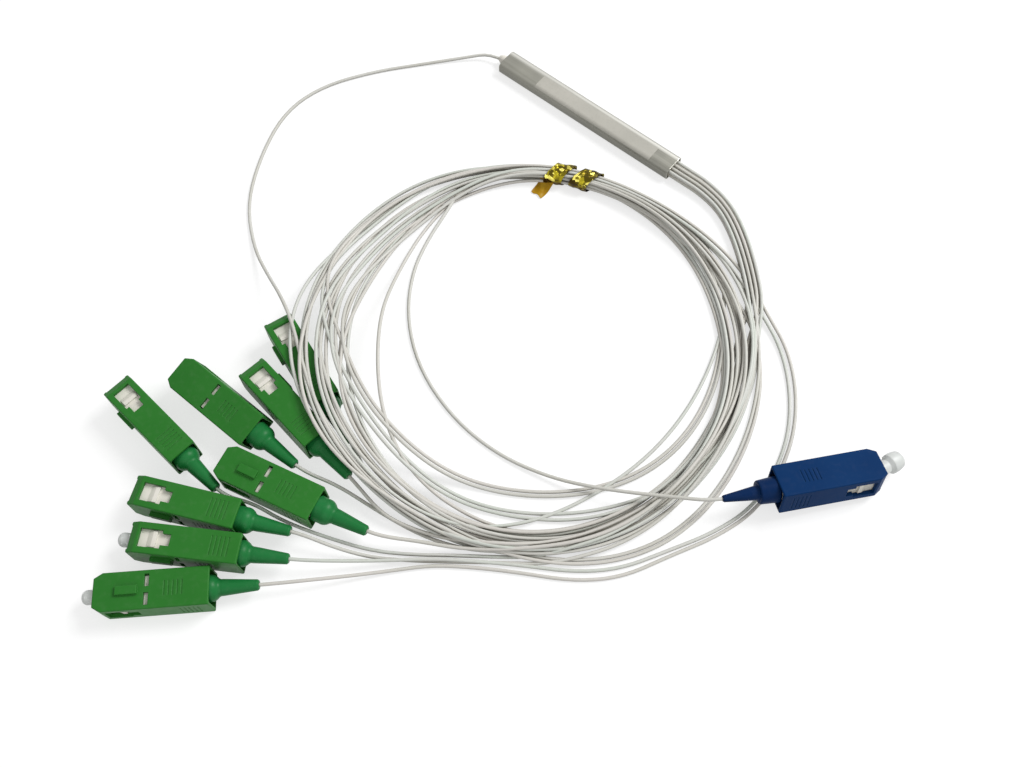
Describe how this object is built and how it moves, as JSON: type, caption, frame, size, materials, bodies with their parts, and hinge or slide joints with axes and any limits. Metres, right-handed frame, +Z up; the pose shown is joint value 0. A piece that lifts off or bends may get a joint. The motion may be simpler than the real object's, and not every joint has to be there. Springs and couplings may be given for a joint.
{
  "type": "plc fibre splitter",
  "caption": "Optical fibre splitter in a slim steel tube, with one blue input and green output push-pull connectors on thin cords wound into one tied coil.",
  "frame": {"origin": "middle of the splitter tube's underside, on the surface that everything lies on", "axes": "+X along the tube, towards its eight outputs; +Z up"},
  "size_m": [0.1929, 0.1881, 0.0119],
  "materials": {
    "steel": "satin drawn stainless steel",
    "label": "grey-white label film",
    "white_plastic": "semi-matt moulded plastic",
    "glass": "polished glass",
    "silicone": "soft clear silicone",
    "gold_foil": "crinkled metallised plastic foil",
    "cord_jacket": "soft matt off-white jacket",
    "cap_plastic": "translucent soft plastic",
    "ceramic": "ground zirconia",
    "green_plastic": "semi-matt moulded plastic",
    "blue_plastic": "semi-matt moulded plastic",
    "green_rubber": "soft satin elastomer",
    "blue_rubber": "soft satin elastomer"
  },
  "bodies": {
    "root": {"chip_cushion": "silicone", "cord_coil": "cord_jacket", "input_boot": "blue_rubber", "input_cord": "cord_jacket", "input_end_plug": "white_plastic", "input_fibre": "glass", "input_fibre_array": "glass", "input_plug_frame": "white_plastic", "label": "label", "output_1_boot": "green_rubber", "output_1_plug_frame": "white_plastic", "output_2_boot": "green_rubber", "output_2_plug_frame": "white_plastic", "output_3_boot": "green_rubber", "output_3_plug_frame": "white_plastic", "output_4_boot": "green_rubber", "output_4_plug_frame": "white_plastic", "output_5_boot": "green_rubber", "output_5_plug_frame": "white_plastic", "output_6_boot": "green_rubber", "output_6_plug_frame": "white_plastic", "output_7_boot": "green_rubber", "output_7_plug_frame": "white_plastic", "output_8_boot": "green_rubber", "output_8_plug_frame": "white_plastic", "output_cord_1": "cord_jacket", "output_cord_2": "cord_jacket", "output_cord_3": "cord_jacket", "output_cord_4": "cord_jacket", "output_cord_5": "cord_jacket", "output_cord_6": "cord_jacket", "output_cord_7": "cord_jacket", "output_cord_8": "cord_jacket", "output_end_plug": "white_plastic", "output_fibre_array": "glass", "output_fibre_ribbon": "glass", "plc_chip": "glass", "steel_tube": "steel", "twist_tie": "gold_foil"},
    "output_1_housing": {"output_1_grip": "green_plastic"},
    "output_1_tip": {"output_1_ferrule": "ceramic"},
    "output_2_housing": {"output_2_grip": "green_plastic"},
    "output_2_tip": {"output_2_ferrule": "ceramic"},
    "output_3_housing": {"output_3_grip": "green_plastic"},
    "output_3_tip": {"output_3_ferrule": "ceramic"},
    "output_4_housing": {"output_4_grip": "green_plastic"},
    "output_4_tip": {"output_4_ferrule": "ceramic"},
    "output_5_housing": {"output_5_grip": "green_plastic"},
    "output_5_tip": {"output_5_ferrule": "ceramic"},
    "output_6_housing": {"output_6_grip": "green_plastic"},
    "output_6_tip": {"output_6_ferrule": "ceramic"},
    "output_7_housing": {"output_7_grip": "green_plastic"},
    "output_7_tip": {"output_7_ferrule": "ceramic"},
    "output_7_cap": {"output_7_dust_cap": "cap_plastic"},
    "output_8_housing": {"output_8_grip": "green_plastic"},
    "output_8_tip": {"output_8_ferrule": "ceramic"},
    "output_8_cap": {"output_8_dust_cap": "cap_plastic"},
    "input_housing": {"input_grip": "blue_plastic"},
    "input_tip": {"input_ferrule": "ceramic"},
    "input_cap": {"input_dust_cap": "cap_plastic"}
  },
  "joints": [
    {"name": "output_1_grip_slide", "type": "slide", "parent": "root", "child": "output_1_housing", "axis": [-0.9489, 0.3156, 0], "range_m": [-0.0015, 0]},
    {"name": "output_1_ferrule_float", "type": "slide", "parent": "root", "child": "output_1_tip", "axis": [-0.9489, 0.3156, 0], "range_m": [-0.001, 0], "stiffness_N_per_m": 1000},
    {"name": "output_2_grip_slide", "type": "slide", "parent": "root", "child": "output_2_housing", "axis": [-0.9914, 0.1305, 0], "range_m": [-0.0015, 0]},
    {"name": "output_2_ferrule_float", "type": "slide", "parent": "root", "child": "output_2_tip", "axis": [-0.9914, 0.1305, 0], "range_m": [-0.001, 0], "stiffness_N_per_m": 1000},
    {"name": "output_3_grip_slide", "type": "slide", "parent": "root", "child": "output_3_housing", "axis": [-1, -0.0017, 0], "range_m": [-0.0015, 0]},
    {"name": "output_3_ferrule_float", "type": "slide", "parent": "root", "child": "output_3_tip", "axis": [-1, -0.0017, 0], "range_m": [-0.001, 0], "stiffness_N_per_m": 1000},
    {"name": "output_4_grip_slide", "type": "slide", "parent": "root", "child": "output_4_housing", "axis": [-0.9971, 0.0767, 0], "range_m": [-0.0015, 0]},
    {"name": "output_4_ferrule_float", "type": "slide", "parent": "root", "child": "output_4_tip", "axis": [-0.9971, 0.0767, 0], "range_m": [-0.001, 0], "stiffness_N_per_m": 1000},
    {"name": "output_5_grip_slide", "type": "slide", "parent": "root", "child": "output_5_housing", "axis": [-0.9703, -0.2419, 0], "range_m": [-0.0015, 0]},
    {"name": "output_5_ferrule_float", "type": "slide", "parent": "root", "child": "output_5_tip", "axis": [-0.9703, -0.2419, 0], "range_m": [-0.001, 0], "stiffness_N_per_m": 1000},
    {"name": "output_6_grip_slide", "type": "slide", "parent": "root", "child": "output_6_housing", "axis": [-0.9026, -0.4305, 0], "range_m": [-0.0015, 0]},
    {"name": "output_6_ferrule_float", "type": "slide", "parent": "root", "child": "output_6_tip", "axis": [-0.9026, -0.4305, 0], "range_m": [-0.001, 0], "stiffness_N_per_m": 1000},
    {"name": "output_7_grip_slide", "type": "slide", "parent": "root", "child": "output_7_housing", "axis": [-0.8425, -0.5388, 0], "range_m": [-0.0015, 0]},
    {"name": "output_7_ferrule_float", "type": "slide", "parent": "root", "child": "output_7_tip", "axis": [-0.8425, -0.5388, 0], "range_m": [-0.001, 0], "stiffness_N_per_m": 1000},
    {"name": "output_7_cap_pull", "type": "slide", "parent": "output_7_tip", "child": "output_7_cap", "axis": [-0.8425, -0.5388, 0], "range_m": [0, 0.01]},
    {"name": "output_8_grip_slide", "type": "slide", "parent": "root", "child": "output_8_housing", "axis": [-0.723, -0.6909, 0], "range_m": [-0.0015, 0]},
    {"name": "output_8_ferrule_float", "type": "slide", "parent": "root", "child": "output_8_tip", "axis": [-0.723, -0.6909, 0], "range_m": [-0.001, 0], "stiffness_N_per_m": 1000},
    {"name": "output_8_cap_pull", "type": "slide", "parent": "output_8_tip", "child": "output_8_cap", "axis": [-0.723, -0.6909, 0], "range_m": [0, 0.01]},
    {"name": "input_grip_slide", "type": "slide", "parent": "root", "child": "input_housing", "axis": [0.6312, 0.7739, -0.0523], "range_m": [-0.0015, 0]},
    {"name": "input_ferrule_float", "type": "slide", "parent": "root", "child": "input_tip", "axis": [0.6312, 0.7739, -0.0523], "range_m": [-0.001, 0], "stiffness_N_per_m": 1000},
    {"name": "input_cap_pull", "type": "slide", "parent": "input_tip", "child": "input_cap", "axis": [0.6312, 0.7739, -0.0523], "range_m": [0, 0.01]}
  ]
}
